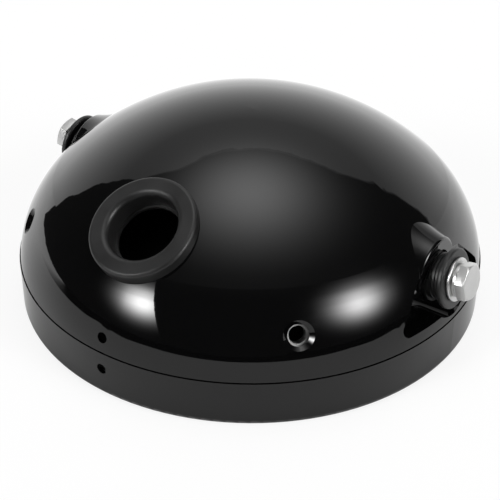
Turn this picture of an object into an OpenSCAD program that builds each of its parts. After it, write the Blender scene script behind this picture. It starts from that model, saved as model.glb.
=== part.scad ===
// Round motorcycle headlight with a pressed steel bucket, held between two side bolts.
// Millimetres. The lamp lies face down: z = 0 is the front face of the trim ring and +Z points
// to the back of the lamp. X runs through the two side bolts. The grommet and the small screw
// holes are on the -Y side.

/* [Bucket] */
// Largest radius of the bucket, at its seam with the trim ring
bucket_r = 99; // [95:0.5:103]
// Thickness of the pressed steel
wall = 1.5; // [1.2:0.1:1.8]
// Radius of the round shoulder between the side and the crown
shoulder_r = 50.8; // [48:0.2:54]
// Height of the centre of the shoulder arc above the front face
shoulder_z = 14.2; // [12:0.2:16]
// Radius of the crown, the shallow dome at the back
crown_r = 124.2; // [120:0.2:132]
// Front end of the stepped edge that the trim ring slides over
spigot_z = 8; // [6:0.5:10]

/* [Trim ring] */
// Depth of the trim ring from its front face to the seam
ring_depth = 20.2; // [18:0.1:23]
// Thickness of the ring's sheet
ring_t = 1.2; // [1:0.1:1.4]
// Radius of the ring's opening
ring_opening_r = 87.2; // [85:0.1:89]
// Outer radius of the rolled front edge
ring_nose_r = 2.6; // [2:0.1:3.5]
// Outer radius of the rolled inner lip
lip_roll_r = 3; // [2:0.1:4]
// Depth of the inner lip behind the front face
lip_depth = 6; // [5:0.1:7]
// Width of the open seam between the ring and the bucket
seam_gap = 0.4; // [0.2:0.1:0.8]

/* [Side mounts] */
// Height of the bolt axis above the front face
mount_z = 37.5; // [36:0.5:40]
// Distance of each flat from the middle of the lamp
pad_x = 89; // [88:0.5:90]
// Radius of the boss at its flat end
boss_r = 14.5; // [13.5:0.5:15.5]
// Radius of the hollow arc along the boss
boss_flare_r = 60; // [55:1:70]
// Half width between the centres of the recess corners
recess_half_w = 27.5; // [25:0.5:29]
// Radius of the recess corners
recess_corner_r = 3; // [2:0.5:4]
// Height of the recess floor above the front face
recess_floor_z = 25; // [24:0.5:27]
// Radius of the recess round the boss
recess_top_r = 15.5; // [14.5:0.5:17]
// Radius of the hole for the rubber bush
pad_hole_r = 9.8; // [9:0.1:11]

/* [Side bolts] */
// Radius of the bolt's shank
bolt_r = 5; // [4:0.5:6]
// Width of the bolt head across its flats
bolt_flats = 14; // [13:0.5:17]
// Height of the bolt head
bolt_head_h = 5.5; // [4:0.5:7]
// Length of the shank under the head
bolt_length = 29; // [27:1:34]
// Turn of the hexagon's corners about the bolt axis
bolt_turn = 50; // [0:5:60]
// Radius of the plain washer
washer_r = 9; // [8:0.5:11]
// Thickness of the plain washer
washer_t = 1.6; // [1:0.1:2]
// Radius of the spring washer
spring_washer_r = 8.6; // [7.5:0.1:9.5]
// Thickness of the spring washer
spring_washer_t = 2; // [1.5:0.1:2.5]
// Radius of the washer inside the bucket
inner_washer_r = 13; // [11:0.5:14]
// Width of the nut across its flats
nut_flats = 16; // [15:0.5:18]
// Height of the nut
nut_h = 8.4; // [6:0.2:10]

/* [Rubber bushes] */
// Radius of the bush flange under the washer
bush_flange_r = 12; // [11:0.5:13.5]
// Thickness of that flange
bush_flange_t = 2.6; // [2:0.1:3.5]
// Radius of the bush between the flange and the flat
bush_neck_r = 11.2; // [10:0.1:12]
// Length of that neck
bush_neck_l = 4.8; // [3:0.1:6]
// Depth of the grooves round the neck
bush_groove = 0.7; // [0.3:0.1:1]
// Thickness of the bush flange inside the bucket
bush_inner_t = 2.6; // [2:0.1:3.5]
// Wall of the steel sleeve inside the bush
sleeve_t = 1.6; // [1:0.1:2]

/* [Grommet] */
// Distance of the grommet's centre from the lamp's axis
grommet_reach = 70.2; // [66:0.2:72]
// Lean of the grommet's axis from the lamp's axis
grommet_lean = 31; // [29:0.5:34]
// Outer radius of the flange
grommet_r = 21.8; // [20:0.2:23]
// Height of the flange above the bucket at its centre
grommet_h = 2.8; // [2.6:0.1:4]
// Radius of the throat
grommet_throat_r = 14; // [13:0.1:14.4]
// Radius of the thin lip at the back of the throat
grommet_lip_r = 13; // [11:0.1:13]
// Thickness of that lip
grommet_lip_t = 1.2; // [0.8:0.1:2]
// Radius of the neck in the bucket's hole
grommet_neck_r = 16; // [15.5:0.5:17]
// Radius of the rounded mouth
grommet_mouth_r = 2.4; // [1.5:0.1:2.5]
// Radius of the flange behind the bucket
grommet_back_r = 19; // [18:0.5:20]
// Depth of that flange's end behind the outside of the bucket
grommet_back = 7.2; // [6.5:0.1:8]

/* [Threaded holes and screw holes] */
// Angle of each dished hole from the grommet, about the lamp's axis
dish_angle = 46; // [40:1:50]
// Slope of the bucket's side at the dished holes, from the lamp's face
dish_slope = 27; // [24:1:30]
// Radius of the dished edge
dish_r = 6.2; // [5.5:0.1:7]
// Depth of the dished edge
dish_depth = 1.6; // [1:0.1:2]
// Radius of the hole in the dish
dish_hole_r = 4.2; // [3.8:0.1:4.8]
// Radius of the threaded bush's bore
side_nut_bore_r = 3.4; // [3:0.1:3.6]
// Outer radius of the threaded bush
side_nut_r = 7.2; // [6.5:0.1:8]
// Length of the threaded bush
side_nut_l = 6; // [4:0.5:8]
// Radius of the small screw holes
screw_hole_r = 2.2; // [1.9:0.1:2.6]
// Radius of the threaded hole for the ring's screw
screw_thread_r = 1.7; // [1.4:0.1:1.7]
// Height of the bucket's screw hole above the front face
bucket_screw_z = 26.7; // [25:0.1:29]
// Height of the ring's screw hole above the front face
ring_screw_z = 12.7; // [12:0.1:14]

/* [Light unit] */
// Radius of the lens
lens_r = 91; // [90:0.5:91.5]
// Thickness of the lens
lens_t = 3.2; // [2.8:0.1:3.6]
// Radius inside which the lens is domed
lens_dome_r = 85; // [83:0.5:86]
// Rise of the lens dome
lens_rise = 5; // [3:0.1:5.4]
// Thickness of the lens gasket
gasket_t = 1.3; // [1:0.1:1.6]
// Radius of the mouth of the reflector bowl
bowl_r = 78; // [74:0.5:80]
// Height of the back of the bowl above the front face
bowl_top_z = 54; // [50:0.5:55]
// Thickness of the reflector's sheet
reflector_t = 1; // [0.8:0.1:1.2]
// Number of clips that hold the light unit in the ring
clip_count = 6; // [4:1:8]
// Width of each clip
clip_w = 12; // [8:1:14]
// Thickness of the clips
clip_t = 1; // [0.8:0.1:1.2]

/* [Bulb] */
// Radius of the bulb's cap
cap_r = 10; // [9:0.1:10.5]
// Length of the bulb's cap
cap_l = 20; // [18:0.5:21]
// Radius of the bulb's glass
glass_r = 8.5; // [7.5:0.1:9]
// Length of the bulb's glass in front of the cap
glass_l = 26; // [22:0.5:28]
// Wall of the bulb's glass
glass_t = 0.9; // [0.7:0.1:1.2]
// Wall of the bulb holder
holder_t = 1.2; // [1:0.1:1.6]
// Wall of the rubber dust boot
boot_t = 1.5; // [1.2:0.1:2]

/* [Hidden] */
$fn = 96;
eps = 0.01;
far = 400;
// Clearance between curved faces that lie inside each other
fit = 0.3;
// Clearance between flat faces that are clamped on each other
seat = 0.1;

// Bucket profile: the crown arc runs into the shoulder arc at an angle too small to see
blend = 1;
shoulder_x = bucket_r - shoulder_r;
centre_run = sqrt(crown_r * crown_r + shoulder_r * shoulder_r - 2 * crown_r * shoulder_r * cos(blend));
crown_z = shoulder_z - sqrt(centre_run * centre_run - shoulder_x * shoulder_x);
bucket_z = ring_depth + seam_gap;
meet_angle = atan2(shoulder_z - crown_z, shoulder_x);
spigot_r = bucket_r - ring_t - fit;
// Bolt stack, from the flat outwards
bush_face_x = pad_x + bush_neck_l + bush_flange_t;
spring_x = bush_face_x + washer_t;
head_x = spring_x + spring_washer_t;
// Bolt stack, from the flat inwards
inner_washer_x = pad_x - wall - bush_inner_t;
nut_x = inner_washer_x - washer_t;
hole_clear = 0.25;
sleeve_bore_r = bolt_r + hole_clear;
sleeve_r = sleeve_bore_r + sleeve_t;
// Boss arc: its slope at the flat, and the length of boss inside the dome
boss_slope = 13;
boss_l = 14;
boss_edge_r = 1.5;
// Height of the crown under the middle of the grommet
grommet_z = crown_z + sqrt(crown_r * crown_r - grommet_reach * grommet_reach);
// Dished holes
dish_reach = shoulder_x + shoulder_r * cos(dish_slope);
dish_z = shoulder_z + shoulder_r * sin(dish_slope);
dish_boss_r = dish_r + wall;
dish_boss_l = dish_depth + wall;
// Light unit, from the ring's lip backwards
gasket_z = lip_depth + seat;
lens_z = gasket_z + gasket_t + seat;
flange_z = lens_z + lens_t + seat;
gasket_back_z = flange_z + reflector_t + seat;
gasket_r = lens_r + fit + 2;
clip_r = gasket_r + 0.5;
clip_z = gasket_back_z + gasket_t + seat;
// Reflector bowl: a sphere through the bowl's mouth and its back
neck_r = cap_r + 2.4;
bowl_centre_z = (bowl_r * bowl_r + flange_z * flange_z - neck_r * neck_r - bowl_top_z * bowl_top_z)
  / (2 * (flange_z - bowl_top_z));
bowl_arc_r = norm([bowl_r, flange_z - bowl_centre_z]);
collar_z = bowl_top_z + 4;
// Bulb and its holder
cap_z = collar_z - 8;
cap_end_z = cap_z + cap_l;
disc_r = neck_r + 2.6;
holder_r = disc_r + fit + holder_t;
plate_z = cap_end_z + 2.1;
plate_t = 1.9;

// Solid with the outer form of the bucket, made smaller all round by inset
module dome(inset, base) {
  rotate_extrude()
    intersection() {
      translate([0, crown_z]) circle(crown_r - inset, $fn = 180);
      union() {
        polygon([[0, crown_z], [far * cos(meet_angle), crown_z + far * sin(meet_angle)], [0, far]]);
        translate([shoulder_x, shoulder_z]) circle(shoulder_r - inset, $fn = 180);
      }
      translate([0, base]) square([far, far]);
    }
}

// Tube whose lower end is at z
module tube(z, h, r_out, r_in) {
  translate([0, 0, z]) difference() {
    cylinder(r = r_out, h = h);
    translate([0, 0, -1]) cylinder(r = r_in, h = h + 2);
  }
}

// Turns a child that stands along Z into one that runs outwards along X on the bolt axis
module along_x(x) {
  translate([x, 0, mount_z]) rotate([0, 90, 0]) children();
}

module both_sides() {
  children();
  mirror([1, 0, 0]) children();
}

// The boss of a side mount, made smaller all round by inset, with a round edge at its flat end.
// The edge's circle reaches past the hollow arc by eps, so that the two arcs cross.
module boss(inset, edge) {
  end = pad_x - inset;
  arc_r = boss_flare_r + inset;
  arc_c = boss_r + boss_flare_r * cos(boss_slope);
  arc_x = pad_x + boss_flare_r * sin(boss_slope);
  edge_x = end - edge;
  edge_c = arc_c - sqrt(pow(arc_r + edge - 2 * eps, 2) - pow(arc_x - edge_x, 2));
  along_x(0)
    rotate_extrude() {
      difference() {
        translate([0, pad_x - boss_l])
          square([arc_c, edge_x - pad_x + boss_l + edge * (arc_x - edge_x) / (arc_r + edge)]);
        translate([arc_c, arc_x]) circle(arc_r, $fn = 180);
      }
      if (edge > 0) {
        translate([edge_c, edge_x]) circle(edge, $fn = 48);
        translate([0, edge_x - edge]) square([edge_c, 2 * edge]);
      }
    }
}

// Outline of the recess round a side mount, in the plane of the flat, grown by grow.
// The first axis runs down and the second along Y, so that along_x stands it up.
module recess_outline(grow) {
  top_r = recess_top_r + grow;
  low_r = recess_corner_r + grow;
  low = mount_z - recess_floor_z - recess_corner_r;
  run = norm([low, recess_half_w]);
  lean = atan2(recess_half_w, low) + acos((top_r - low_r) / run);
  circle(top_r);
  polygon([
    [top_r * cos(lean), top_r * sin(lean)],
    [low + low_r * cos(lean), recess_half_w + low_r * sin(lean)],
    [low + low_r, recess_half_w],
    [low + low_r, -recess_half_w],
    [low + low_r * cos(lean), -recess_half_w - low_r * sin(lean)],
    [top_r * cos(lean), -top_r * sin(lean)]]);
  for (side = [-1, 1])
    translate([low, side * recess_half_w]) circle(low_r, $fn = 48);
}

module recess(x, grow) {
  along_x(x) linear_extrude(bucket_r) recess_outline(grow);
}

// Places children on the bucket at a dished hole, standing along the wall's outward normal
module at_dish(side) {
  rotate([0, 0, side * dish_angle - 90])
    translate([dish_reach, 0, dish_z])
      rotate([0, 90 - dish_slope, 0])
        children();
}

// Places children on the bucket under the middle of the grommet, standing along its axis
module at_grommet() {
  translate([0, -grommet_reach, grommet_z]) rotate([grommet_lean, 0, 0]) children();
}

module bucket() {
  color([0.03, 0.03, 0.03])
    difference() {
      union() {
        dome(0, bucket_z);
        both_sides() boss(0, boss_edge_r);
        translate([0, 0, spigot_z]) cylinder(r = spigot_r, h = bucket_z - spigot_z + 1);
      }
      difference() {
        union() {
          dome(wall, bucket_z + wall);
          both_sides() boss(wall, 0);
          translate([0, 0, spigot_z - 1]) cylinder(r = spigot_r - wall, h = bucket_z - spigot_z + wall + 2);
        }
        both_sides() recess(pad_x - wall, wall);
        for (side = [-1, 1])
          at_dish(side) translate([0, 0, -dish_boss_l]) cylinder(r = dish_boss_r, h = 2 * dish_boss_l);
      }
      both_sides() recess(pad_x, 0);
      both_sides() along_x(pad_x - 10) cylinder(r = pad_hole_r, h = 20);
      for (side = [-1, 1]) {
        at_dish(side) translate([0, 0, -dish_depth])
          cylinder(r1 = dish_hole_r, r2 = dish_r + (dish_r - dish_hole_r), h = 2 * dish_depth);
        at_dish(side) translate([0, 0, -10]) cylinder(r = dish_hole_r, h = 20);
      }
      at_grommet() translate([0, 0, -10]) cylinder(r = grommet_neck_r + fit, h = 20);
      bucket_screw_hole();
      translate([0, -spigot_r + 10, ring_screw_z]) rotate([90, 0, 0]) cylinder(r = screw_hole_r + 0.6, h = 20);
      hook_slot();
    }
}

module bucket_screw_hole() {
  rise = asin((bucket_screw_z - shoulder_z) / shoulder_r);
  translate([0, -shoulder_x, shoulder_z])
    rotate([90 - rise, 0, 0])
      translate([0, 0, shoulder_r - 8])
        cylinder(r = screw_hole_r, h = 16);
}

hook_w = 14;
hook_z = 14.8;
hook_t = 1.2;

module hook_slot() {
  translate([-hook_w / 2 - 1.5, spigot_r - 6, hook_z - 0.8])
    cube([hook_w + 3, 12, hook_t + 1.6]);
}

module trim_ring() {
  side_in = bucket_r - ring_t;
  lip_x = ring_opening_r + lip_roll_r;
  color([0.05, 0.05, 0.05])
    difference() {
      rotate_extrude() {
        translate([side_in, ring_nose_r]) square([ring_t, ring_depth - ring_nose_r]);
        intersection() {
          translate([bucket_r - ring_nose_r, ring_nose_r]) difference() {
            circle(ring_nose_r, $fn = 48);
            circle(ring_nose_r - ring_t, $fn = 48);
          }
          translate([bucket_r - ring_nose_r, 0]) square(ring_nose_r);
        }
        translate([lip_x, 0]) square([bucket_r - ring_nose_r - lip_x, ring_t]);
        intersection() {
          translate([lip_x, lip_roll_r]) difference() {
            circle(lip_roll_r, $fn = 48);
            circle(lip_roll_r - ring_t, $fn = 48);
          }
          translate([ring_opening_r, 0]) square(lip_roll_r);
        }
        translate([ring_opening_r, lip_roll_r]) square([ring_t, lip_depth - lip_roll_r]);
      }
      translate([0, -bucket_r + 10, ring_screw_z]) rotate([90, 0, 0]) cylinder(r = screw_hole_r, h = 20);
    }
}

module screw_plate() {
  half = 5;
  out_r = spigot_r - wall - seat;
  plate = 1.3;
  color("silver")
    difference() {
      rotate([0, 0, -90 - half])
        rotate_extrude(angle = 2 * half)
          translate([out_r - plate, spigot_z + 1]) square([plate, 9]);
      translate([0, -out_r + 10, ring_screw_z]) rotate([90, 0, 0]) cylinder(r = screw_thread_r, h = 20);
    }
}

module hook_tab() {
  out_y = bucket_r - ring_t - 0.35;
  in_y = spigot_r - wall - 2;
  color([0.05, 0.05, 0.05])
    translate([-hook_w / 2, in_y, hook_z]) {
      cube([hook_w, out_y - in_y, hook_t]);
      cube([hook_w, hook_t, 5]);
    }
}

module cable_grommet() {
  mouth_r = grommet_throat_r + grommet_mouth_r;
  edge = 1.5;
  color([0.12, 0.12, 0.12])
    difference() {
      union() {
        difference() {
          at_grommet() rotate_extrude() {
            translate([0, -grommet_back]) square([grommet_r - edge, grommet_back + grommet_h]);
            translate([0, -grommet_back]) square([grommet_r, grommet_back + grommet_h - edge]);
            translate([grommet_r - edge, grommet_h - edge]) circle(edge, $fn = 48);
          }
          dome(-fit / 2, bucket_z);
        }
        at_grommet() translate([0, 0, -grommet_back]) cylinder(r = grommet_neck_r, h = grommet_back + 0.6);
        intersection() {
          at_grommet() translate([0, 0, -grommet_back]) cylinder(r = grommet_back_r, h = grommet_back);
          dome(wall + fit / 2, bucket_z);
        }
      }
      at_grommet() {
        translate([0, 0, grommet_lip_t - grommet_back]) cylinder(r = grommet_throat_r, h = 40);
        translate([0, 0, -20]) cylinder(r = grommet_lip_r, h = 40);
        rotate_extrude()
          difference() {
            translate([0, grommet_h - grommet_mouth_r]) square([mouth_r, 5]);
            translate([mouth_r, grommet_h - grommet_mouth_r]) circle(grommet_mouth_r, $fn = 48);
          }
      }
    }
}

// Six-sided head or nut with its corners turned off at the outer end
module hexagon(flats, h, turn, chamfer_both) {
  corner_r = flats / 2 / cos(30);
  cut = 0.6;
  intersection() {
    rotate([0, 0, turn]) cylinder(r = corner_r, h = h, $fn = 6);
    rotate_extrude()
      polygon([
        [0, 0],
        [chamfer_both ? flats / 2 * 0.96 : corner_r + 1, 0],
        [corner_r + 1, chamfer_both ? (corner_r + 1 - flats / 2 * 0.96) * cut : eps],
        [corner_r + 1, h - (corner_r + 1 - flats / 2 * 0.96) * cut],
        [flats / 2 * 0.96, h],
        [0, h]]);
  }
}

module mount_bolt() {
  color("lightgray")
    along_x(head_x) {
      hexagon(bolt_flats, bolt_head_h, bolt_turn, false);
      translate([0, 0, -bolt_length]) cylinder(r = bolt_r, h = bolt_length + 1);
    }
}

module spring_washer() {
  color("silver")
    along_x(spring_x)
      rotate([0, 0, 100])
        rotate_extrude(angle = 350)
          translate([sleeve_bore_r, 0]) square([spring_washer_r - sleeve_bore_r, spring_washer_t]);
}

module flat_washer() {
  color("silver")
    along_x(bush_face_x) tube(0, washer_t, washer_r, sleeve_bore_r);
}

module mount_bush() {
  bore_r = sleeve_r + 0.2;
  pitch = bush_neck_l / 3;
  color([0.1, 0.1, 0.1])
    along_x(0)
      rotate_extrude()
        difference() {
          union() {
            translate([bore_r, pad_x - wall - 1]) square([pad_hole_r - fit - bore_r, wall + 2]);
            translate([bore_r, pad_x]) square([bush_neck_r - bore_r, bush_neck_l + 1]);
            translate([bore_r, pad_x + bush_neck_l])
              square([bush_flange_r - 0.8 - bore_r, bush_flange_t]);
            translate([bore_r, pad_x + bush_neck_l + 0.8])
              square([bush_flange_r - bore_r, bush_flange_t - 1.6]);
            for (level = [0.8, bush_flange_t - 0.8])
              translate([bush_flange_r - 0.8, pad_x + bush_neck_l + level]) circle(0.8, $fn = 32);
            translate([bore_r, inner_washer_x]) square([inner_washer_r - bore_r, bush_inner_t]);
          }
          for (i = [1, 2])
            translate([bush_neck_r, pad_x + i * pitch]) circle(bush_groove, $fn = 24);
        }
}

module mount_sleeve() {
  color("silver")
    along_x(inner_washer_x) tube(0, bush_face_x - inner_washer_x, sleeve_r, sleeve_bore_r);
}

module inner_washer() {
  color("silver")
    along_x(nut_x) tube(0, washer_t, inner_washer_r, sleeve_bore_r);
}

module mount_nut() {
  color("lightgray")
    along_x(nut_x - nut_h)
      difference() {
        hexagon(nut_flats, nut_h, bolt_turn, true);
        translate([0, 0, -1]) cylinder(r = bolt_r + 0.1, h = nut_h + 2);
      }
}

module side_nut(side) {
  color("silver")
    at_dish(side) tube(-dish_boss_l - side_nut_l, side_nut_l, side_nut_r, side_nut_bore_r);
}

module lens() {
  arc_r = (lens_dome_r * lens_dome_r + lens_rise * lens_rise) / (2 * lens_rise);
  front_z = lens_z - lens_rise;
  color([0.85, 0.9, 0.95, 0.5])
    rotate_extrude() {
      translate([lens_dome_r - 1, lens_z]) square([lens_r - lens_dome_r + 1, lens_t]);
      intersection() {
        translate([0, front_z + arc_r]) difference() {
          circle(arc_r, $fn = 360);
          circle(arc_r - lens_t, $fn = 360);
        }
        square([lens_dome_r, lens_z + lens_t]);
      }
    }
}

module lens_gasket() {
  in_r = ring_opening_r - 0.6;
  color([0.08, 0.08, 0.08])
    rotate_extrude() {
      translate([in_r, gasket_z]) square([gasket_r - in_r, gasket_t]);
      translate([lens_r + fit, gasket_z]) square([gasket_r - lens_r - fit, gasket_back_z + gasket_t - gasket_z]);
      translate([in_r, gasket_back_z]) square([gasket_r - in_r, gasket_t]);
    }
}

module reflector() {
  color([0.8, 0.8, 0.82])
    rotate_extrude() {
      translate([bowl_r - 1, flange_z]) square([lens_r - bowl_r + 1, reflector_t]);
      intersection() {
        translate([0, bowl_centre_z]) difference() {
          circle(bowl_arc_r + reflector_t, $fn = 360);
          circle(bowl_arc_r, $fn = 360);
        }
        translate([neck_r, flange_z]) square([bowl_r - neck_r + 1, bowl_top_z]);
      }
      translate([neck_r, bowl_top_z - 1]) square([reflector_t, collar_z - bowl_top_z + 1]);
    }
}

module unit_clips() {
  color("silver")
    for (i = [0 : clip_count - 1])
      rotate([0, 0, i * 360 / clip_count])
        translate([0, -clip_w / 2, 0]) {
          translate([clip_r, 0, ring_t + seat]) cube([bucket_r - ring_nose_r - 0.2 - clip_r, clip_w, clip_t]);
          translate([clip_r, 0, ring_t + seat]) cube([clip_t, clip_w, clip_z + clip_t - ring_t - seat]);
          translate([ring_opening_r, 0, clip_z]) cube([clip_r + clip_t - ring_opening_r, clip_w, clip_t]);
        }
}

module bulb_glass() {
  tip_z = cap_z - glass_l + glass_r;
  color([0.9, 0.9, 0.9, 0.4])
    rotate_extrude()
      difference() {
        union() {
          translate([0, tip_z]) square([glass_r, cap_z - tip_z]);
          intersection() {
            translate([0, tip_z]) circle(glass_r);
            translate([0, tip_z - glass_r]) square(glass_r);
          }
        }
        translate([0, tip_z]) square([glass_r - glass_t, cap_z - tip_z - glass_t]);
        intersection() {
          translate([0, tip_z]) circle(glass_r - glass_t);
          translate([0, tip_z - glass_r]) square([glass_r, glass_r + eps]);
        }
      }
}

module bulb_filaments() {
  wire_r = 0.35;
  base_z = cap_z - glass_t - seat;
  color("gray")
    for (level = [[-3, 17], [3, 14]])
      translate([0, level[0], 0]) {
        for (x = [-3, 3])
          translate([x, 0, base_z - level[1]]) cylinder(r = wire_r, h = level[1]);
        translate([-3, 0, base_z - level[1]]) rotate([0, 90, 0]) cylinder(r = 0.8, h = 6);
      }
}

module bulb_cap() {
  color([0.75, 0.7, 0.5])
    difference() {
      union() {
        translate([0, 0, cap_z]) cylinder(r = cap_r, h = cap_l);
        translate([0, 0, collar_z + seat]) cylinder(r = disc_r, h = 1);
      }
      translate([0, 0, cap_end_z - 0.8]) tube(0, 2, cap_r - 1.2, 6);
    }
}

module bulb_holder() {
  color([0.7, 0.7, 0.7])
    rotate_extrude() {
      translate([neck_r + reflector_t + 0.2, collar_z - 3]) square([holder_r - neck_r - reflector_t - 0.2, holder_t]);
      translate([disc_r + fit, collar_z - 3]) square([holder_t, plate_z - collar_z + 3]);
    }
}

module contact_plate() {
  color([0.25, 0.15, 0.1])
    difference() {
      translate([0, 0, plate_z]) cylinder(r = holder_r, h = plate_t);
      for (x = [-4, 4])
        translate([x, 0, plate_z - 1]) cylinder(r = 1.7, h = plate_t + 2);
    }
}

module contact_studs() {
  color([0.8, 0.65, 0.3])
    for (x = [-4, 4])
      translate([x, 0, 0]) {
        translate([0, 0, cap_end_z + seat]) cylinder(r = 2.6, h = plate_z - cap_end_z - 2 * seat);
        translate([0, 0, cap_end_z + seat]) cylinder(r = 1.5, h = plate_z + plate_t - cap_end_z - seat + 0.6);
      }
}

module terminals() {
  base_z = plate_z + plate_t;
  color([0.8, 0.65, 0.3])
    for (x = [-4, 4])
      translate([x, 0, 0])
        difference() {
          union() {
            translate([-2.5, -2.5, base_z]) cube([5, 8, 0.8]);
            translate([-2.5, 4.7, base_z]) cube([5, 0.8, 4.5]);
          }
          translate([0, 0, base_z - 1]) cylinder(r = 1.7, h = 3);
        }
}

module dust_boot() {
  in_r = holder_r + 0.6;
  foot_r = in_r + boot_t + 4;
  top_z = plate_z + plate_t - 0.6;
  color([0.08, 0.08, 0.08])
    difference() {
      rotate_extrude() {
        translate([in_r, collar_z - 10]) square([foot_r - in_r, 8]);
        translate([in_r, collar_z - 10]) square([boot_t, top_z - collar_z + 10]);
        translate([9, plate_z + plate_t + seat]) square([in_r + boot_t - 9, boot_t]);
        translate([in_r, top_z - 1]) square([boot_t, plate_z + plate_t + seat + boot_t - top_z + 1]);
      }
      translate([0, 0, bowl_centre_z]) sphere(bowl_arc_r + reflector_t + seat, $fn = 180);
    }
}

bucket();
trim_ring();
cable_grommet();
mount_bolt();  // mount_bolt_right
mirror([1, 0, 0]) mount_bolt();  // mount_bolt_left
spring_washer();  // spring_washer_right
mirror([1, 0, 0]) spring_washer();  // spring_washer_left
flat_washer();  // flat_washer_right
mirror([1, 0, 0]) flat_washer();  // flat_washer_left
mount_bush();  // mount_bush_right
mirror([1, 0, 0]) mount_bush();  // mount_bush_left
mount_sleeve();  // mount_sleeve_right
mirror([1, 0, 0]) mount_sleeve();  // mount_sleeve_left
inner_washer();  // inner_washer_right
mirror([1, 0, 0]) inner_washer();  // inner_washer_left
mount_nut();  // mount_nut_right
mirror([1, 0, 0]) mount_nut();  // mount_nut_left
side_nut(1);  // side_nut_right
side_nut(-1);  // side_nut_left
screw_plate();
hook_tab();
lens();
lens_gasket();
reflector();
unit_clips();
bulb_glass();
bulb_filaments();
bulb_cap();
bulb_holder();
contact_plate();
contact_studs();
terminals();
dust_boot();
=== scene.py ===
"""Finishes and studio for a round motorcycle headlight that lies face down on its trim ring."""

import math

import bpy
from bpy.props import FloatProperty, FloatVectorProperty, PointerProperty
from mathutils import Matrix, Vector


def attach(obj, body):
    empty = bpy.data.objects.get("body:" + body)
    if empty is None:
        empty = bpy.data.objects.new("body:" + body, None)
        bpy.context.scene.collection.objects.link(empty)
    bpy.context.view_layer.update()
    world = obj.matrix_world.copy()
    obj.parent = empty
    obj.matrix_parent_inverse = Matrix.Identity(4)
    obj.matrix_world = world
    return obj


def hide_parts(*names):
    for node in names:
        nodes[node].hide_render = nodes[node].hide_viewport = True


bl_info = {
    "name": "Round Motorcycle Headlight",
    "version": (1, 0, 0),
    "blender": (4, 5, 0),
    "location": "View3D > Sidebar > Headlight",
    "description": "Paint, rubber, zinc and glass for a round headlight, and its studio",
    "category": "Object",
}

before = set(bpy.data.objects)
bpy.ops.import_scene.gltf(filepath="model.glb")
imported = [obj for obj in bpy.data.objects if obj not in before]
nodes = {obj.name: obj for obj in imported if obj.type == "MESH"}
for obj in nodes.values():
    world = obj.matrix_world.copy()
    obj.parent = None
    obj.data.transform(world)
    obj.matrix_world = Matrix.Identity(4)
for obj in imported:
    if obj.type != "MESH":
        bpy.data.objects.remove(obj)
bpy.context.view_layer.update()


def colour(name, description, default):
    return FloatVectorProperty(name=name, description=description, subtype="COLOR", size=3,
                               min=0.0, max=1.0, default=default)


def amount(name, description, default, low=0.0, high=1.0):
    return FloatProperty(name=name, description=description, default=default, min=low, max=high)


def length(name, description, default):
    return FloatProperty(name=name, description=description, default=default, min=0.0002, max=0.1,
                         unit="LENGTH")


class HeadlightPaint(bpy.types.PropertyGroup):
    """Gloss paint of the bucket and the trim ring"""
    tint: colour("Paint colour", "Colour of the gloss paint", (0.0016, 0.0016, 0.0017))
    roughness: amount("Roughness", "Roughness of the polished paint", 0.035)
    peel: amount("Orange peel", "Height of the faint waviness of sprayed paint", 0.03)


class HeadlightRubber(bpy.types.PropertyGroup):
    """Rubber of the grommet, the bushes, the seal and the boot"""
    grommet: colour("Grommet colour", "Colour of the cable grommet", (0.012, 0.012, 0.012))
    bush: colour("Bush colour", "Colour of the mounting bushes", (0.012, 0.012, 0.012))
    roughness: amount("Roughness", "Roughness of moulded rubber", 0.42)


class HeadlightMetal(bpy.types.PropertyGroup):
    """Zinc, steel and brass"""
    zinc: colour("Zinc colour", "Colour of the plated bolts and washers", (0.64, 0.64, 0.635))
    steel: colour("Steel colour", "Colour of the clips and the bulb holder", (0.5, 0.5, 0.5))
    brass: colour("Brass colour", "Colour of the contacts", (0.72, 0.52, 0.2))
    roughness: amount("Roughness", "Roughness of the zinc plate", 0.4)


class HeadlightMount(bpy.types.PropertyGroup):
    """Side mounts: bolt, washers and rubber bush"""
    lean: FloatProperty(name="Bolt lean", description="Lean of the bolt in its soft bush", default=math.radians(9),
                        min=0.0, max=math.radians(10), subtype="ANGLE")
    head_flats: length("Head flats", "Width of the hex head across its flats", 0.0138)
    head_height: length("Head height", "Height of the hex head", 0.0040)
    spring_radius: length("Spring washer radius", "Outer radius of the split washer", 0.0069)
    spring_height: length("Spring washer height", "Height of the split washer", 0.0017)
    washer_radius: length("Washer radius", "Outer radius of the plain washer", 0.0088)
    washer_height: length("Washer height", "Thickness of the plain washer", 0.0014)
    flange_radius: length("Bush flange radius", "Outer radius of the bush's flange", 0.0122)
    flange_height: length("Bush flange height", "Thickness of the bush's flange", 0.0025)
    floor_height: length("Recess floor height", "Height of the lowest point of the recess floor", 0.0254)
    floor_arc: length("Recess floor arc", "Radius of the recess floor's arc", 0.08)
    floor_corner: length("Recess corner", "Radius of the hollow corner between flat and floor", 0.0022)
    slope: FloatProperty(name="Wing slope", description="Slope of the recess's wings",
                         default=math.radians(29), min=math.radians(10), max=math.radians(60), subtype="ANGLE")
    wing_radius: length("Wing radius", "Radius of the circle at which the wings leave the flat", 0.0225)
    wing_height: length("Wing height", "Height of that circle's centre", 0.0515)
    wing_bend: length("Wing bend", "Radius of the bend between the flat and the wings", 0.005)
    wing_run: length("Wing run", "Length of the wings' slope", 0.018)
    neck_radius: length("Bush neck radius", "Radius of the bush behind its flange, at the grooves", 0.0090)


class HeadlightLight(bpy.types.PropertyGroup):
    """Lens, reflector and bulb"""
    flute: FloatProperty(name="Flute width", description="Width of the flutes in the lens", default=0.009,
                         min=0.004, max=0.02, unit="LENGTH")
    flute_height: amount("Flute height", "Strength of the flutes in the lens", 0.35)
    mirror: colour("Mirror colour", "Colour of the reflector's inside", (0.9, 0.9, 0.91))


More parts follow.
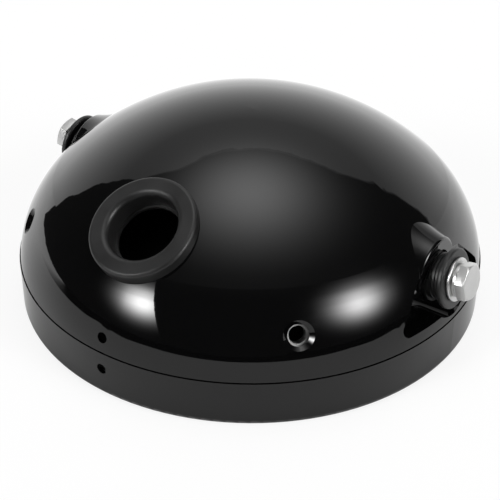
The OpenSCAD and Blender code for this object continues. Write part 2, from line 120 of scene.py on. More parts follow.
class HeadlightStudio(bpy.types.PropertyGroup):
    """Floor, panels and camera"""
    floor_tint: colour("Floor colour", "Colour of the pale floor", (0.8, 0.8, 0.8))
    table: FloatProperty(name="Table radius", description="Radius of the bright table round the lamp",
                         default=0.4, min=0.2, max=1.5, unit="LENGTH")
    azimuth: FloatProperty(name="Camera azimuth", description="Direction of the camera about the lamp's axis",
                           default=math.radians(34.81), subtype="ANGLE")
    elevation: FloatProperty(name="Camera elevation", description="Height angle of the camera",
                             default=math.radians(33.66), subtype="ANGLE")
    distance: FloatProperty(name="Camera distance", description="Distance from the camera to its target",
                            default=0.5336, min=0.2, max=3.0, unit="LENGTH")
    panel: amount("Panel brightness", "Brightness of the white panel behind the lamp", 1.3, 0.0, 4.0)
    top: amount("Top light", "Brightness of the soft light overhead", 2.6, 0.0, 20.0)
    side: amount("Side lights", "Brightness of the two soft boxes", 22.0, 0.0, 60.0)
    room: amount("Room", "Brightness of the dark room", 0.035, 0.0, 1.0)


# Shader helpers

class Graph:
    """One material's or group's node tree, with short calls for nodes and links"""

    def __init__(self, tree):
        self.tree = tree
        self.column = 0

    def add(self, kind, **settings):
        node = self.tree.nodes.new(kind)
        self.column += 1
        node.location = (180 * self.column - 1600, -60 * (self.column % 5))
        for key, value in settings.items():
            setattr(node, key, value)
        return node

    def put(self, socket, value):
        if isinstance(value, bpy.types.NodeSocket):
            self.tree.links.new(value, socket)
        else:
            socket.default_value = value

    def math(self, operation, first, second=0.0, third=None, clamp=False):
        node = self.add("ShaderNodeMath", operation=operation, use_clamp=clamp)
        self.put(node.inputs[0], first)
        self.put(node.inputs[1], second)
        if third is not None:
            self.put(node.inputs[2], third)
        return node.outputs[0]

    def vector(self, operation, first, second=None):
        node = self.add("ShaderNodeVectorMath", operation=operation)
        self.put(node.inputs[0], first)
        if second is not None:
            self.put(node.inputs[1], second)
        scalar = operation in ("LENGTH", "DOT_PRODUCT", "DISTANCE")
        return node.outputs["Value"] if scalar else node.outputs[0]

    def mix(self, factor, first, second):
        node = self.add("ShaderNodeMix", data_type="RGBA")
        self.put(node.inputs[0], factor)
        self.put(node.inputs[6], first)
        self.put(node.inputs[7], second)
        return node.outputs[2]

    def ramp(self, value, low, high):
        node = self.add("ShaderNodeMapRange", interpolation_type="SMOOTHSTEP")
        self.put(node.inputs["Value"], value)
        node.inputs["From Min"].default_value = low
        node.inputs["From Max"].default_value = high
        return node.outputs["Result"]

    def noise(self, coords, scale, detail=3.0):
        node = self.add("ShaderNodeTexNoise")
        self.put(node.inputs["Vector"], coords)
        self.put(node.inputs["Scale"], scale)
        node.inputs["Detail"].default_value = detail
        return node.outputs["Fac"]


def group_with(name, inputs, outputs):
    """A new shader node group with named sockets; returns its graph, its input node and its output node."""
    tree = bpy.data.node_groups.new(name, "ShaderNodeTree")
    for label, kind, default in inputs:
        socket = tree.interface.new_socket(name=label, in_out="INPUT", socket_type=kind)
        if default is not None:
            socket.default_value = default
    for label, kind in outputs:
        tree.interface.new_socket(name=label, in_out="OUTPUT", socket_type=kind)
    graph = Graph(tree)
    return graph, graph.add("NodeGroupInput"), graph.add("NodeGroupOutput")


def mottle_group():
    """Slow drift of tone and roughness over a surface"""
    if "Mottle" in bpy.data.node_groups:
        return bpy.data.node_groups["Mottle"]
    graph, ins, outs = group_with("Mottle", [
        ("Vector", "NodeSocketVector", None), ("Color", "NodeSocketColor", (0.5, 0.5, 0.5, 1)),
        ("Scale", "NodeSocketFloat", 60.0), ("Amount", "NodeSocketFloat", 0.2),
        ("Roughness", "NodeSocketFloat", 0.4), ("Roughness Drift", "NodeSocketFloat", 0.1)],
        [("Color", "NodeSocketColor"), ("Roughness", "NodeSocketFloat")])
    mask = graph.noise(ins.outputs["Vector"], ins.outputs["Scale"], 4.0)
    centred = graph.math("SUBTRACT", mask, 0.5)
    factor = graph.math("MULTIPLY_ADD", centred, ins.outputs["Amount"], 1.0)
    tone = graph.vector("MULTIPLY", ins.outputs["Color"], factor)
    rough = graph.math("MULTIPLY_ADD", centred, ins.outputs["Roughness Drift"], ins.outputs["Roughness"])
    graph.put(outs.inputs["Color"], tone)
    graph.put(outs.inputs["Roughness"], graph.math("MAXIMUM", rough, 0.0))
    return graph.tree


def grain_group():
    """Height of a fine grain, for a Bump node"""
    if "Fine Grain" in bpy.data.node_groups:
        return bpy.data.node_groups["Fine Grain"]
    graph, ins, outs = group_with("Fine Grain", [
        ("Vector", "NodeSocketVector", None), ("Scale", "NodeSocketFloat", 900.0),
        ("Coarse Scale", "NodeSocketFloat", 120.0), ("Coarse", "NodeSocketFloat", 0.4)],
        [("Height", "NodeSocketFloat")])
    fine = graph.noise(ins.outputs["Vector"], ins.outputs["Scale"], 2.0)
    coarse = graph.noise(ins.outputs["Vector"], ins.outputs["Coarse Scale"], 2.0)
    graph.put(outs.inputs["Height"], graph.math("MULTIPLY_ADD", coarse, ins.outputs["Coarse"], fine))
    return graph.tree


def material(name):
    """A node material with a Principled BSDF; returns its graph, the shader and Object coordinates."""
    made = bpy.data.materials.new(name)
    made.use_nodes = True
    graph = Graph(made.node_tree)
    shader = made.node_tree.nodes["Principled BSDF"]
    coords = graph.add("ShaderNodeTexCoord").outputs["Object"]
    return made, graph, shader, coords


def surface(name, tint, roughness, metallic=0.0, scale=60.0, drift=0.15, rough_drift=0.08,
            grain=0.0, grain_scale=900.0, coarse_scale=120.0, distance=0.0001):
    """A finish with mottled tone and roughness and a fine grain"""
    made, graph, shader, coords = material(name)
    shader.inputs["Metallic"].default_value = metallic
    mottle = graph.add("ShaderNodeGroup", node_tree=mottle_group())
    graph.put(mottle.inputs["Vector"], coords)
    mottle.inputs["Color"].default_value = (*tint, 1)
    mottle.inputs["Scale"].default_value = scale
    mottle.inputs["Amount"].default_value = drift
    mottle.inputs["Roughness"].default_value = roughness
    mottle.inputs["Roughness Drift"].default_value = rough_drift
    graph.put(shader.inputs["Base Color"], mottle.outputs["Color"])
    graph.put(shader.inputs["Roughness"], mottle.outputs["Roughness"])
    if grain > 0:
        relief = graph.add("ShaderNodeGroup", node_tree=grain_group())
        graph.put(relief.inputs["Vector"], coords)
        relief.inputs["Scale"].default_value = grain_scale
        relief.inputs["Coarse Scale"].default_value = coarse_scale
        bump = graph.add("ShaderNodeBump")
        bump.inputs["Strength"].default_value = grain
        bump.inputs["Distance"].default_value = distance
        graph.put(bump.inputs["Height"], relief.outputs["Height"])
        graph.put(shader.inputs["Normal"], bump.outputs["Normal"])
    return made


def dress(made, *names):
    """Gives a finish to CAD nodes"""
    for name in names:
        mesh = nodes[name].data
        mesh.materials.clear()
        mesh.materials.append(made)


# Modelling helpers

# Side mounts: BASE is the middle of the underside of the right bolt's head, FLAT the distance of the
# pressed flats from the lamp's axis, SHEET the bucket's wall, and BORE and HOLE are the radii of the holes
# in bush and washers.
BASE = Vector((0.1005, 0.0, 0.0385))
FLAT = 0.089
SHEET = 0.0015
BORE = 0.0071
HOLE = 0.0053
SHANK_RADIUS, SHANK_LENGTH = 0.005, 0.0305
# Gap that is left between two skins, and how far a solid reaches into the one it joins
GAP = 0.00005
OVERLAP = 0.001
# Height of the mount's middle in the CAD frame, and of the point that the inner pieces turn about
CAD_HEIGHT = 0.0375
PIVOT_HEIGHT = 0.0366
SIDES = (("right", 1), ("left", -1))
# Arc of the bucket's shoulder, and the height above which the recess floors roll inwards from it
SHOULDER_CENTRE, SHOULDER_RADIUS, SHOULDER_HEIGHT = 0.0482, 0.0508, 0.0142
LIP = 0.0250


def alone(piece):
    """Makes one object the only selected and active one"""
    bpy.ops.object.select_all(action="DESELECT")
    piece.select_set(True)
    bpy.context.view_layer.objects.active = piece
    return piece


def added(name):
    """Names the object that an operator has just added and puts its place into its mesh"""
    piece = alone(bpy.context.active_object)
    piece.name = piece.data.name = name
    bpy.ops.object.transform_apply(location=True, rotation=True, scale=True)
    return piece


def modify(piece, kind, **settings):
    """Adds a modifier and applies it"""
    alone(piece)
    bpy.ops.object.modifier_add(type=kind)
    modifier = piece.modifiers[-1]
    for key, value in settings.items():
        setattr(modifier, key, value)
    bpy.ops.object.modifier_apply(modifier=modifier.name)


def combine(piece, tool, operation):
    """Adds, cuts or keeps what another solid covers, which is then gone"""
    modify(piece, "BOOLEAN", operation=operation, solver="EXACT", object=tool)
    bpy.data.objects.remove(tool)


def turned(name, profile, segments=96):
    """A ring about Z: a circle is extruded along a closed profile of (radius, height) and bridged"""
    radius, height = profile[0]
    bpy.ops.object.select_all(action="DESELECT")
    bpy.ops.mesh.primitive_circle_add(vertices=segments, radius=radius, location=(0, 0, height))
    piece = added(name)
    bpy.ops.object.mode_set(mode="EDIT")
    bpy.ops.mesh.select_all(action="SELECT")
    for wide, high in profile[1:]:
        bpy.ops.mesh.extrude_region_move(TRANSFORM_OT_translate={"value": (0, 0, high - height)})
        bpy.ops.transform.resize(value=(wide / radius, wide / radius, 1), center_override=(0, 0, high))
        radius, height = wide, high
    bpy.ops.mesh.select_mode(type="EDGE")
    bpy.ops.mesh.select_all(action="DESELECT")
    bpy.ops.mesh.select_non_manifold(extend=False, use_wire=False, use_boundary=True, use_multi_face=False,
                                     use_non_contiguous=False, use_verts=False)
    bpy.ops.mesh.bridge_edge_loops()
    bpy.ops.mesh.select_all(action="SELECT")
    bpy.ops.mesh.normals_make_consistent(inside=False)
    bpy.ops.object.mode_set(mode="OBJECT")
    return piece


def rounded(points, radius, steps=4):
    """A closed profile whose corners are rounded by arcs"""
    out = []
    for i, here in enumerate(points):
        here = Vector(here)
        back = (Vector(points[i - 1]) - here).normalized()
        on = (Vector(points[(i + 1) % len(points)]) - here).normalized()
        half = back.angle(on) / 2
        reach = radius / math.tan(half)
        centre = here + (back + on).normalized() * radius / math.sin(half)
        first = here + back * reach - centre
        last = here + on * reach - centre
        for k in range(steps + 1):
            out.append(centre + first.slerp(last, k / steps).normalized() * radius)
    return [tuple(v) for v in out]


def smooth(piece, angle=32):
    """Shades smoothly over edges that bend by less than an angle in degrees"""
    alone(piece)
    bpy.ops.object.shade_smooth_by_angle(angle=math.radians(angle))


def put(piece, turn):
    """Moves a piece by a matrix, which goes into its mesh"""
    alone(piece)
    piece.matrix_world = turn @ piece.matrix_world
    bpy.ops.object.transform_apply(location=True, rotation=True, scale=True)


def on_bolt(side, lean):
    """The place of a piece that is built along Z from the underside of the head, on one leaning bolt"""
    along = Vector((side * math.cos(lean), 0, math.sin(lean)))
    level = Vector((0, side, 0))
    turn = Matrix((level.cross(along), level, along)).transposed().to_4x4()
    return Matrix.Translation(Vector((side * BASE.x, 0, BASE.z))) @ turn


def deliver(piece, slot, *replaced):
    """The piece rides on the lamp in place of CAD nodes; the slot of its finish is not used."""
    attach(piece, "root")
    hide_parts(*replaced)


def copied(piece, name):
    """A copy of a piece with its own mesh"""
    made = bpy.data.objects.new(name, piece.data.copy())
    made.data.name = name
    bpy.context.scene.collection.objects.link(made)
    return made


class HEADLIGHT_OT_paint(bpy.types.Operator):
    """Gloss black paint on the bucket, the trim ring and its tab"""
    bl_idname = "headlight.paint"
    bl_label = "Paint bucket and ring"

    def execute(self, context):
        paint = context.scene.headlight_paint
        gloss = surface("gloss_black_paint", paint.tint, paint.roughness, scale=40, drift=0.2, rough_drift=0.02,
                        grain=paint.peel, grain_scale=260, coarse_scale=90, distance=0.00005)
        gloss.node_tree.nodes["Principled BSDF"].inputs["IOR"].default_value = 1.5
        dress(gloss, "bucket", "trim_ring", "hook_tab")
        return {"FINISHED"}


class HEADLIGHT_OT_rubber(bpy.types.Operator):
    """Moulded rubber of the grommet, bushes, seal and boot"""
    bl_idname = "headlight.rubber"
    bl_label = "Rubber parts"

    def execute(self, context):
        rubber = context.scene.headlight_rubber
        dress(surface("grommet_rubber", rubber.grommet, rubber.roughness, scale=110, drift=0.9, rough_drift=0.35,
                      grain=0.3, grain_scale=1100), "cable_grommet")
        dress(surface("bush_rubber", rubber.bush, rubber.roughness, scale=90, drift=0.3, rough_drift=0.15,
                      grain=0.3, grain_scale=1400), "mount_bush_right", "mount_bush_left")
        dress(surface("seal_rubber", rubber.bush, 0.6, scale=120, drift=0.3, grain=0.3, grain_scale=1100),
              "lens_gasket", "dust_boot")
        return {"FINISHED"}


class HEADLIGHT_OT_fasteners(bpy.types.Operator):
    """Zinc plated plates and threaded bushes, and the finishes of bolts and washers"""
    bl_idname = "headlight.fasteners"
    bl_label = "Fasteners"

    def execute(self, context):
        metal = context.scene.headlight_metal
        zinc = surface("zinc_plate", metal.zinc, metal.roughness, 1.0, scale=160, drift=0.2, rough_drift=0.12,
                       grain=0.25, grain_scale=1600, coarse_scale=300, distance=0.00008)
        dress(zinc, *[n for n in nodes if n.startswith(("mount_bolt", "mount_nut", "side_nut", "mount_sleeve",
                                                        "inner_washer", "screw_plate"))])
        washer = surface("washer_zinc", metal.zinc, metal.roughness * 0.8, 1.0, scale=200, drift=0.15,
                         rough_drift=0.1, grain=0.2, grain_scale=1500, coarse_scale=400, distance=0.00006)
        dress(washer, *[n for n in nodes if n.startswith(("flat_washer", "spring_washer"))])
        return {"FINISHED"}


class HEADLIGHT_OT_mounts(bpy.types.Operator):
    """Bolts, washers and bushes of both side mounts, askew in the soft bushes"""
    bl_idname = "headlight.mounts"
    bl_label = "Side mounts"

    def execute(self, context):
        mount = context.scene.headlight_mount
        models = {"mount_bolt": self.bolt(mount), "spring_washer": self.spring(mount),
                  "flat_washer": self.washer(mount), "mount_bush": self.bush(mount)}
        slots = {"mount_bolt": "zinc", "spring_washer": "washer_zinc", "flat_washer": "washer_zinc",
                 "mount_bush": "bush_rubber"}
        for name, model in models.items():
            for hand, side in SIDES:
                node = f"{name}_{hand}"
                piece = copied(model, f"leaning_{node}")
                put(piece, on_bolt(side, mount.lean))
                if name == "mount_bush":
                    self.seat(piece, side, mount.lean)
                smooth(piece, 20 if name == "mount_bolt" else 32)
                piece.data.materials.clear()
                piece.data.materials.append(nodes[node].data.materials[0])
                deliver(piece, slots[name], node)
            bpy.data.objects.remove(model)
        for hand, side in SIDES:
            for name in ("mount_sleeve", "inner_washer", "mount_nut"):
                self.inner(f"{name}_{hand}", side, mount.lean)
        return {"FINISHED"}

    def bolt(self, mount):
        """Hex head with a turned chamfer, on its shank"""
        corner = mount.head_flats / math.sqrt(3)
        height = mount.head_height
        hex_turn, chamfer, bevel = math.radians(43), math.radians(62), 0.00016
        bpy.ops.mesh.primitive_cylinder_add(vertices=6, radius=corner, depth=height,
                                            location=(0, 0, height / 2), rotation=(0, 0, hex_turn))
        head = added("head")
        top = mount.head_flats * 0.485
        bpy.ops.mesh.primitive_cone_add(vertices=96, radius1=top + math.tan(chamfer) * (height + OVERLAP),
                                        radius2=top, depth=height + OVERLAP,
                                        location=(0, 0, (height - OVERLAP) / 2))
        combine(head, added("chamfer"), "INTERSECT")
        modify(head, "BEVEL", width=bevel, segments=2, limit_method="ANGLE", angle_limit=math.radians(25))
        bpy.ops.mesh.primitive_cylinder_add(vertices=64, radius=SHANK_RADIUS, depth=SHANK_LENGTH,
                                            location=(0, 0, 0.0005 - SHANK_LENGTH / 2))
        combine(head, added("shank"), "UNION")
        return head

    def spring(self, mount):
        """Split washer"""
        high = mount.spring_height - 2 * GAP
        edge = 0.0002
        ring = turned("split", rounded([(HOLE, -high), (mount.spring_radius, -high), (mount.spring_radius, -GAP),
                                        (HOLE, -GAP)], edge))
        slit, tilt, turn = 0.0007, math.radians(28), math.radians(200)
        bpy.ops.mesh.primitive_cube_add(size=1, location=(0.0062, 0, -high / 2), scale=(0.006, slit, 0.006),
                                        rotation=(tilt, 0, turn))
        combine(ring, added("slit"), "DIFFERENCE")
        return ring

    def washer(self, mount):
        """Plain washer with its punched, rounded edge"""
        top = -mount.spring_height
        low = top - mount.washer_height + 2 * GAP
        edge = 0.0004
        return turned("washer", rounded([(HOLE, low), (mount.washer_radius, low), (mount.washer_radius, top),
                                         (HOLE, top)], edge, 5))

    def bush(self, mount):
        """Rubber bush outside the flat: rounded flange, grooved neck and a foot that the flat then cuts"""
        front = -mount.spring_height - mount.washer_height
        back = front - mount.flange_height
        edge = 0.0009
        body = turned("bush", rounded([(BORE, back), (mount.flange_radius, back), (mount.flange_radius, front),
                                       (BORE, front)], edge, 6))
        neck, deep = mount.neck_radius, -0.0150
        foot, pitch, rib = neck + 0.0014, 0.0016, neck + 0.0005
        profile = [(BORE, deep), (foot, deep), (foot, -0.0112), (neck, -0.0110)]
        level = -0.0107
        while level + pitch < back:
            profile += [(neck, level + 0.0003), (rib, level + 0.0006), (rib, level + 0.0012),
                        (neck, level + 0.0015)]
            level += pitch
        profile += [(neck, back + OVERLAP), (BORE, back + OVERLAP)]
        combine(body, turned("neck", profile), "UNION")
        return body

    def seat(self, piece, side, lean):
        """Ends the bush at the flat, and adds its core in the hole and its flange inside"""
        # The unions leave open edges, and the mesh differs from run to run.
        self.halve(piece, side, FLAT + GAP, True)
        flange, core, edge = 0.0118, 0.0086, 0.0008
        flange_low, flange_high, core_low, core_high = -0.0178, -0.0110, -0.0170, -0.0090
        inside = turned("inner_flange", rounded([(BORE, flange_low), (flange, flange_low), (flange, flange_high),
                                                 (BORE, flange_high)], edge))
        put(inside, on_bolt(side, lean))
        self.halve(inside, side, FLAT - SHEET - GAP, False)
        middle = turned("core", [(BORE, core_low), (core, core_low), (core, core_high), (BORE, core_high)])
        put(middle, on_bolt(side, lean))
        combine(piece, middle, "UNION")
        combine(piece, inside, "UNION")

    def halve(self, piece, side, distance, outer):
        """Keeps what lies outside or inside a plane that faces along one bolt, and closes the cut"""
        alone(piece)
        bpy.ops.object.mode_set(mode="EDIT")
        bpy.ops.mesh.select_all(action="SELECT")
        bpy.ops.mesh.bisect(plane_co=(side * distance, 0, 0), plane_no=(side, 0, 0), use_fill=True,
                            clear_inner=outer, clear_outer=not outer)
        bpy.ops.object.mode_set(mode="OBJECT")

    def inner(self, node, side, lean):
        """A copy of what the bolt pulls against inside, askew with it"""
        piece = copied(nodes[node], f"leaning_{node}")
        alone(piece)
        bpy.ops.object.mode_set(mode="EDIT")
        bpy.ops.mesh.select_all(action="SELECT")
        bpy.ops.mesh.remove_doubles(threshold=GAP / 5)
        bpy.ops.object.mode_set(mode="OBJECT")
        turn = Matrix.Translation((side * FLAT, 0, PIVOT_HEIGHT)) @ Matrix.Rotation(-side * lean, 4, "Y")
        put(piece, turn @ Matrix.Translation((-side * FLAT, 0, -CAD_HEIGHT)))
        smooth(piece)
        deliver(piece, "zinc", node)


class HEADLIGHT_OT_recesses(bpy.types.Operator):
    """Hollow, rising floor that the press leaves below each flat"""
    bl_idname = "headlight.recesses"
    bl_label = "Recess floors"

    def execute(self, context):
        mount = context.scene.headlight_mount
        bank = self.bank(mount)
        for hand, side in SIDES:
            piece = copied(bank, f"recess_floor_{hand}")
            put(piece, Matrix.Rotation(0 if side > 0 else math.pi, 4, "Z"))
            smooth(piece, 28)
            piece.data.materials.clear()
            piece.data.materials.append(nodes["bucket"].data.materials[0])
            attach(piece, "root")
        bpy.data.objects.remove(bank)
        return {"FINISHED"}

    def bank(self, mount):
        """Floor arc with its hollow corner, and the slope that widens towards the recess's tips"""
        # With these values the booleans leave only a small, open scrap of the floor.
        under, front, thick = FLAT - 0.0003, 0.0995, 0.004
        reach, corner = mount.floor_arc, mount.floor_corner
        arc = [(reach - corner + corner * math.sin(a), FLAT + corner - corner * math.cos(a))
               for a in (math.radians(9 * k) for k in range(11))]
        floor = turned("floor", [(reach - corner, under)] + arc
                       + [(reach, front), (reach + thick, front), (reach + thick, under)], 720)
        upright = Matrix.Rotation(math.pi / 2, 4, "Y")
        put(floor, Matrix.Translation((0, 0, mount.floor_height + reach)) @ upright)
        inner, bend, steep = mount.wing_radius, mount.wing_bend, mount.slope
        arc = [(inner + bend * math.sin(a), FLAT + bend - bend * math.cos(a))
               for a in (steep * k / 8 for k in range(9))]
        run = mount.wing_run
        end = (arc[-1][0] + run * math.cos(steep), arc[-1][1] + run * math.sin(steep))
        wing = turned("wing", [(inner, under)] + arc + [end, (end[0], under)], 360)
        put(wing, Matrix.Translation((0, 0, mount.wing_height)) @ upright)
        combine(floor, wing, "UNION")
        dome = turned("dome", [(0.08, 0.02)] + self.skin() + [(0.08, 0.046)], 720)
        bpy.ops.mesh.primitive_cube_add(size=1, location=(0.094, 0, 0.0335), scale=(0.016, 0.068, 0.0195))
        combine(dome, added("window"), "INTERSECT")
        combine(floor, dome, "INTERSECT")
        return floor

    def skin(self):
        """Outline of the bucket's shoulder, which draws back above LIP"""
        outline = []
        for k in range(40, 93):
            z = k / 2000
            over = max(0.0, z - LIP)
            inwards = 0.00003 + 0.12 * over + 60 * over ** 2
            around = math.sqrt(SHOULDER_RADIUS ** 2 - (min(z, LIP) - SHOULDER_HEIGHT) ** 2)
            outline.append((SHOULDER_CENTRE + around - inwards, z))
        return outline


# Centre of the reflector's arc, and the radius between its two skins
BOWL_CENTRE = (0.0, 0.0, -0.03624)
BOWL_MIDDLE = 0.0916


class HEADLIGHT_OT_light_unit(bpy.types.Operator):
    """Fluted lens, bright reflector and clips"""
    bl_idname = "headlight.light_unit"
    bl_label = "Light unit"

    def execute(self, context):
        light = context.scene.headlight_light
        metal = context.scene.headlight_metal
        glass, graph, shader, coords = material("fluted_glass")
        shader.inputs["Base Color"].default_value = (0.97, 0.99, 1.0, 1)
        shader.inputs["Roughness"].default_value = 0.02
        shader.inputs["IOR"].default_value = 1.5
        shader.inputs["Transmission Weight"].default_value = 1.0
        apart = graph.add("ShaderNodeSeparateXYZ")
        graph.put(apart.inputs[0], coords)
        wave = graph.math("SINE", graph.math("MULTIPLY", apart.outputs["X"], 2 * math.pi / light.flute))
        bump = graph.add("ShaderNodeBump")
        bump.inputs["Strength"].default_value = light.flute_height
        bump.inputs["Distance"].default_value = 0.0008
        graph.put(bump.inputs["Height"], wave)
        graph.put(shader.inputs["Normal"], bump.outputs["Normal"])
        dress(glass, "lens")
        mirror, graph, shader, coords = material("reflector_mirror")
        reach = graph.vector("DISTANCE", coords, BOWL_CENTRE)
        outside = graph.math("GREATER_THAN", reach, BOWL_MIDDLE)
        graph.put(shader.inputs["Base Color"], graph.mix(outside, (*light.mirror, 1), (0.03, 0.03, 0.032, 1)))
        graph.put(shader.inputs["Metallic"], graph.math("SUBTRACT", 1.0, outside))
        graph.put(shader.inputs["Roughness"], graph.math("MULTIPLY_ADD", outside, 0.4, 0.06))
        dress(mirror, "reflector")
        steel = surface("clip_steel", metal.steel, 0.32, 1.0, scale=120, drift=0.2, grain=0.2)
        dress(steel, "unit_clips", "bulb_holder")
        return {"FINISHED"}


class HEADLIGHT_OT_bulb(bpy.types.Operator):
    """Bulb, its contacts and the contact plate"""
    bl_idname = "headlight.bulb"
    bl_label = "Bulb"

    def execute(self, context):
        metal = context.scene.headlight_metal
        clear, graph, shader, coords = material("bulb_clear_glass")
        shader.inputs["Base Color"].default_value = (1, 1, 1, 1)
        shader.inputs["Roughness"].default_value = 0.0
        shader.inputs["Transmission Weight"].default_value = 1.0
        dress(clear, "bulb_glass")
        dress(surface("tungsten_wire", (0.25, 0.25, 0.27), 0.4, 1.0, grain=0.2, grain_scale=2500),
              "bulb_filaments")
        dress(surface("nickel_brass", (0.7, 0.68, 0.6), 0.25, 1.0, grain=0.15), "bulb_cap")
        dress(surface("brown_phenolic", (0.09, 0.035, 0.015), 0.45, drift=0.5, grain=0.2), "contact_plate")
        dress(surface("contact_brass", metal.brass, 0.28, 1.0, grain=0.15), "contact_studs", "terminals")
        return {"FINISHED"}


# The room as the gloss paint mirrors it. A white panel stands behind the lamp; its edges are slopes seen
# from the lamp, across and upwards, and it is darker towards its top.
PANEL_WAY = Vector((-0.5, 0.866, 0))
PANEL_ACROSS = Vector((0.866, 0.5, 0))
PANEL_LEFT, PANEL_TOP = -1.37, 1.5
PANEL_SLANT, PANEL_SLANT_TOP = -1.47, 2.7
SWELL_PLACE, SWELL_WIDTH, SWELL_HEIGHT = 0.95, 2.6, 0.4
RIPPLE_SCALE, RIPPLE_HEIGHT = 7.0, 0.3
FADE, DARKEST = -1.15, 0.32
HEM_WIDTH, HEM_SHADE = 0.06, 0.6
# Soft lights: azimuth, elevation and spread in degrees
OVERHEAD = (-35, 79, 14)
RIGHT_BOX = (88.5, 27, 7.2)
LEFT_BOX = (-160, 26.5, 6.5)
RIGHT_SHARE, LEFT_SHARE = 0.85, 1.2
# Normal of the plane that ends the left box's light in a straight edge
LEFT_BOX_EDGE = (0.43, -0.024, 0.157)
# The floor as the camera sees it: share and strength of its glow, and how much brighter the paint mirrors it
FLOOR_GLOW, FLOOR_STRENGTH, MIRRORED = 0.8, 1.07, 0.2
# Camera: roll, sideways and upward place of its target, and focal length in pixels of a picture 500 wide
ROLL, TARGET_ACROSS, TARGET_HEIGHT = 0.0081, -0.00007, 0.01374
FOCAL_PIXELS, PICTURE, SENSOR = 1219.12, 500, 36


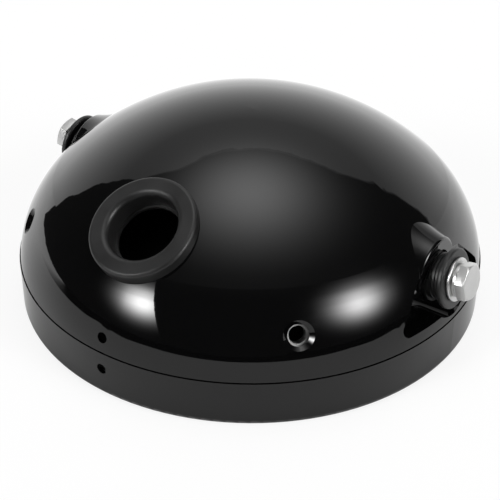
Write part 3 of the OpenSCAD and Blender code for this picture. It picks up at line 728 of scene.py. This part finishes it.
class HEADLIGHT_OT_stage(bpy.types.Operator):
    """Pale floor, soft studio light and the camera"""
    bl_idname = "headlight.stage"
    bl_label = "Stage"

    def execute(self, context):
        studio = context.scene.headlight_studio
        bpy.ops.object.select_all(action="DESELECT")
        bpy.ops.mesh.primitive_plane_add(size=8, location=(0, 0, -0.0003))
        floor = context.active_object
        floor.name = "floor"
        bpy.ops.object.transform_apply(location=True, rotation=True, scale=True)
        floor.data.materials.append(self.floor_material(studio))
        self.world(context.scene, studio)
        self.camera(context.scene, studio)
        context.scene.view_settings.view_transform = "Standard"
        return {"FINISHED"}

    def floor_material(self, studio):
        made = bpy.data.materials.new("pale_floor")
        made.use_nodes = True
        tree = made.node_tree
        tree.nodes.clear()
        graph = Graph(tree)
        coords = graph.add("ShaderNodeTexCoord").outputs["Object"]
        path = graph.add("ShaderNodeLightPath")
        near = graph.math("LESS_THAN", graph.vector("LENGTH", coords), studio.table)
        away = graph.vector("DOT_PRODUCT", coords, PANEL_WAY)
        lit = graph.math("MAXIMUM", near, graph.math("GREATER_THAN", away, 0.1))
        mirrored = path.outputs["Is Glossy Ray"]
        seen = graph.math("MAXIMUM", lit, graph.math("SUBTRACT", 1.0, mirrored))
        diffuse = graph.add("ShaderNodeBsdfDiffuse")
        graph.put(diffuse.inputs["Color"], graph.mix(seen, (0.02, 0.02, 0.02, 1), (*studio.floor_tint, 1)))
        white = graph.add("ShaderNodeEmission")
        blend = graph.add("ShaderNodeMixShader")
        shine = graph.math("MULTIPLY", mirrored, graph.ramp(away, -0.1, 0.13))
        graph.put(white.inputs["Strength"], graph.math("MULTIPLY_ADD", mirrored, MIRRORED, FLOOR_STRENGTH))
        direct = path.outputs["Is Camera Ray"]
        graph.put(blend.inputs[0], graph.math("MULTIPLY_ADD", direct, FLOOR_GLOW, shine))
        graph.put(blend.inputs[1], diffuse.outputs[0])
        graph.put(blend.inputs[2], white.outputs[0])
        output = graph.add("ShaderNodeOutputMaterial")
        graph.put(output.inputs["Surface"], blend.outputs[0])
        return made

    def world(self, scene, studio):
        world = bpy.data.worlds.new("studio")
        scene.world = world
        world.use_nodes = True
        tree = world.node_tree
        tree.nodes.clear()
        graph = Graph(tree)
        way = graph.add("ShaderNodeTexCoord").outputs["Generated"]
        path = graph.add("ShaderNodeLightPath")
        light = self.panel(graph, way, studio)
        for place, level in ((OVERHEAD, studio.top), (RIGHT_BOX, studio.side * RIGHT_SHARE),
                             (LEFT_BOX, studio.side * LEFT_SHARE)):
            glow = self.glow(graph, way, *place)
            if place == LEFT_BOX:
                cut = graph.vector("DOT_PRODUCT", way, LEFT_BOX_EDGE)
                glow = graph.math("MULTIPLY", glow, graph.math("LESS_THAN", cut, 0.0))
            light = graph.math("MULTIPLY_ADD", glow, level, light)
        straight = graph.math("MAXIMUM", path.outputs["Is Camera Ray"], path.outputs["Is Transmission Ray"])
        strength = graph.math("ADD", straight,
                              graph.math("MULTIPLY", graph.math("SUBTRACT", 1.0, straight), light))
        background = graph.add("ShaderNodeBackground")
        background.inputs["Color"].default_value = (1, 1, 1, 1)
        graph.put(background.inputs["Strength"], strength)
        output = graph.add("ShaderNodeOutputWorld")
        graph.put(output.inputs["Surface"], background.outputs[0])

    def panel(self, graph, way, studio):
        """Light of the room and of the panel, whose upper edge ripples and has a dark hem"""
        ahead = graph.vector("DOT_PRODUCT", way, PANEL_WAY)
        height = graph.vector("DOT_PRODUCT", way, (0, 0, 1))
        depth = graph.math("MAXIMUM", ahead, 0.01)
        beside = graph.math("DIVIDE", graph.vector("DOT_PRODUCT", way, PANEL_ACROSS), depth)
        raised = graph.math("DIVIDE", height, depth)
        ripple = graph.math("MULTIPLY_ADD", graph.noise(way, RIPPLE_SCALE), RIPPLE_HEIGHT, -RIPPLE_HEIGHT / 2)
        swell = graph.math("MULTIPLY", graph.math("ADD", beside, SWELL_PLACE), SWELL_WIDTH)
        swell = graph.math("EXPONENT", graph.math("MULTIPLY", graph.math("MULTIPLY", swell, swell), -1.0))
        top = graph.math("ADD", graph.math("MULTIPLY_ADD", swell, SWELL_HEIGHT, PANEL_TOP), ripple)
        slant = graph.math("ADD", graph.math("MULTIPLY_ADD", beside, PANEL_SLANT, PANEL_SLANT_TOP), ripple)
        inside = graph.math("SUBTRACT", graph.math("MINIMUM", top, slant), raised)
        panel = graph.math("MULTIPLY", graph.math("GREATER_THAN", ahead, 0.01),
                           graph.math("GREATER_THAN", inside, 0.0))
        panel = graph.math("MULTIPLY", panel,
                           graph.math("GREATER_THAN", graph.math("ADD", beside, ripple), PANEL_LEFT))
        level = graph.math("MAXIMUM", graph.math("MULTIPLY_ADD", height, FADE, 1.0), DARKEST)
        hem = graph.math("MULTIPLY_ADD", graph.math("LESS_THAN", inside, HEM_WIDTH), -HEM_SHADE, 1.0)
        level = graph.math("MULTIPLY", graph.math("MULTIPLY", level, hem), studio.panel)
        return graph.math("MULTIPLY_ADD", panel, graph.math("SUBTRACT", level, studio.room), studio.room)

    def glow(self, graph, way, azimuth, elevation, spread):
        """Round soft light in one direction, with all angles in degrees"""
        az, el, wide = math.radians(azimuth), math.radians(elevation), math.radians(spread)
        centre = (math.sin(az) * math.cos(el), math.cos(az) * math.cos(el), math.sin(el))
        near = graph.math("SUBTRACT", graph.vector("DOT_PRODUCT", way, centre), 1.0)
        return graph.math("EXPONENT", graph.math("DIVIDE", near, wide * wide))

    def camera(self, scene, studio):
        az, el = studio.azimuth, studio.elevation
        right = Vector((math.cos(az), math.sin(az), 0))
        back = Vector((math.sin(az) * math.cos(el), -math.cos(az) * math.cos(el), math.sin(el)))
        up = back.cross(right)
        level = math.cos(ROLL) * right + math.sin(ROLL) * up
        upright = -math.sin(ROLL) * right + math.cos(ROLL) * up
        place = right * TARGET_ACROSS + Vector((0, 0, TARGET_HEIGHT)) + back * studio.distance
        lens = bpy.data.cameras.new("camera")
        lens.lens = FOCAL_PIXELS * SENSOR / PICTURE
        lens.sensor_width = SENSOR
        camera = bpy.data.objects.new("camera", lens)
        scene.collection.objects.link(camera)
        turn = Matrix((level, upright, back)).transposed().to_4x4()
        camera.matrix_world = Matrix.Translation(place) @ turn
        lens.clip_start = 0.01
        scene.camera = camera


class HEADLIGHT_PT_panel(bpy.types.Panel):
    """Sizes, colours and steps of the headlight"""
    bl_idname = "HEADLIGHT_PT_panel"
    bl_label = "Headlight"
    bl_space_type = "VIEW_3D"
    bl_region_type = "UI"
    bl_category = "Headlight"

    def draw(self, context):
        for name, group in SETTINGS:
            values = getattr(context.scene, name)
            box = self.layout.box()
            box.label(text=group.__doc__)
            for key in group.__annotations__:
                box.prop(values, key)
        for step in STEPS:
            self.layout.operator(step.bl_idname)


SETTINGS = (("headlight_paint", HeadlightPaint), ("headlight_rubber", HeadlightRubber),
            ("headlight_metal", HeadlightMetal), ("headlight_mount", HeadlightMount),
            ("headlight_light", HeadlightLight), ("headlight_studio", HeadlightStudio))
STEPS = (HEADLIGHT_OT_paint, HEADLIGHT_OT_rubber, HEADLIGHT_OT_fasteners, HEADLIGHT_OT_mounts,
         HEADLIGHT_OT_recesses, HEADLIGHT_OT_light_unit, HEADLIGHT_OT_bulb, HEADLIGHT_OT_stage)


def register():
    for name, group in SETTINGS:
        bpy.utils.register_class(group)
        setattr(bpy.types.Scene, name, PointerProperty(type=group))
    for step in STEPS:
        bpy.utils.register_class(step)
    bpy.utils.register_class(HEADLIGHT_PT_panel)


def unregister():
    bpy.utils.unregister_class(HEADLIGHT_PT_panel)
    for step in reversed(STEPS):
        bpy.utils.unregister_class(step)
    for name, group in reversed(SETTINGS):
        delattr(bpy.types.Scene, name)
        bpy.utils.unregister_class(group)


def main():
    register()
    bpy.ops.object.select_all(action="DESELECT")
    bpy.ops.headlight.paint()
    bpy.ops.headlight.rubber()
    bpy.ops.headlight.fasteners()
    bpy.ops.headlight.mounts()
    bpy.ops.headlight.recesses()
    bpy.ops.headlight.light_unit()
    bpy.ops.headlight.bulb()
    bpy.ops.headlight.stage()


if __name__ == "__main__":
    main()
